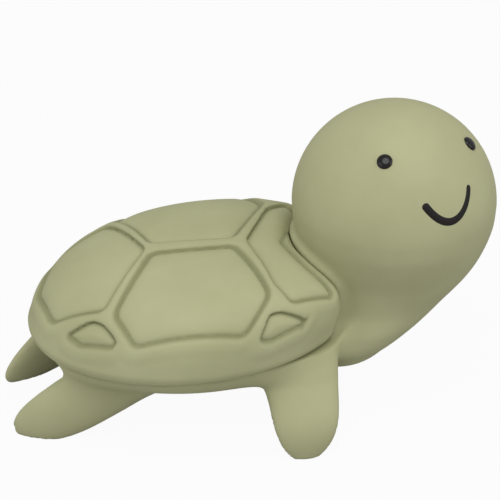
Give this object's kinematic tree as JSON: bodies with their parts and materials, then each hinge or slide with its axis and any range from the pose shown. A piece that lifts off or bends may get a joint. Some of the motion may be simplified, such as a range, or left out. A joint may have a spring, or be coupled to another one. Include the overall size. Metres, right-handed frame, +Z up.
{
  "type": "turtle bath toy",
  "caption": "Hollow soft rubber turtle that stands on its flippers, with a domed plated shell bonded on its rim, inlaid eyes and smile, and a loose rattle inside.",
  "frame": {"origin": "on the table, under the middle of the turtle's overall length and width", "axes": "+X from tail to neck, +Y to the turtle's left, +Z up"},
  "size_m": [0.121, 0.0724, 0.0745],
  "materials": {
    "body_rubber": "matte sage green natural rubber",
    "carapace_rubber": "matte sage green natural rubber",
    "eye_lacquer": "glossy black",
    "mouth_lacquer": "satin black",
    "capsule_plastic": "natural white moulded plastic",
    "bead_steel": "tumbled steel shot"
  },
  "bodies": {
    "turtle": {"body_skin": "body_rubber", "carapace": "carapace_rubber", "eye_right": "eye_lacquer", "eye_left": "eye_lacquer", "mouth": "mouth_lacquer"},
    "capsule": {"rattle_capsule_base": "capsule_plastic", "rattle_capsule_cap": "capsule_plastic"},
    "bead_1": {"rattle_bead_1": "bead_steel"},
    "bead_2": {"rattle_bead_2": "bead_steel"},
    "bead_3": {"rattle_bead_3": "bead_steel"},
    "bead_4": {"rattle_bead_4": "bead_steel"},
    "bead_5": {"rattle_bead_5": "bead_steel"}
  },
  "joints": [
    {"name": "capsule_slide", "type": "slide", "parent": "turtle", "child": "capsule", "axis": [1, 0, 0], "range_m": [-0.008, 0.008]},
    {"name": "bead_1_bounce", "type": "slide", "parent": "capsule", "child": "bead_1", "axis": [0, 0, 1], "range_m": [0, 0.009]},
    {"name": "bead_2_bounce", "type": "slide", "parent": "capsule", "child": "bead_2", "axis": [0, 0, 1], "range_m": [0, 0.009]},
    {"name": "bead_3_bounce", "type": "slide", "parent": "capsule", "child": "bead_3", "axis": [0, 0, 1], "range_m": [0, 0.009]},
    {"name": "bead_4_bounce", "type": "slide", "parent": "capsule", "child": "bead_4", "axis": [0, 0, 1], "range_m": [0, 0.009]},
    {"name": "bead_5_bounce", "type": "slide", "parent": "capsule", "child": "bead_5", "axis": [0, 0, 1], "range_m": [0, 0.009]}
  ]
}
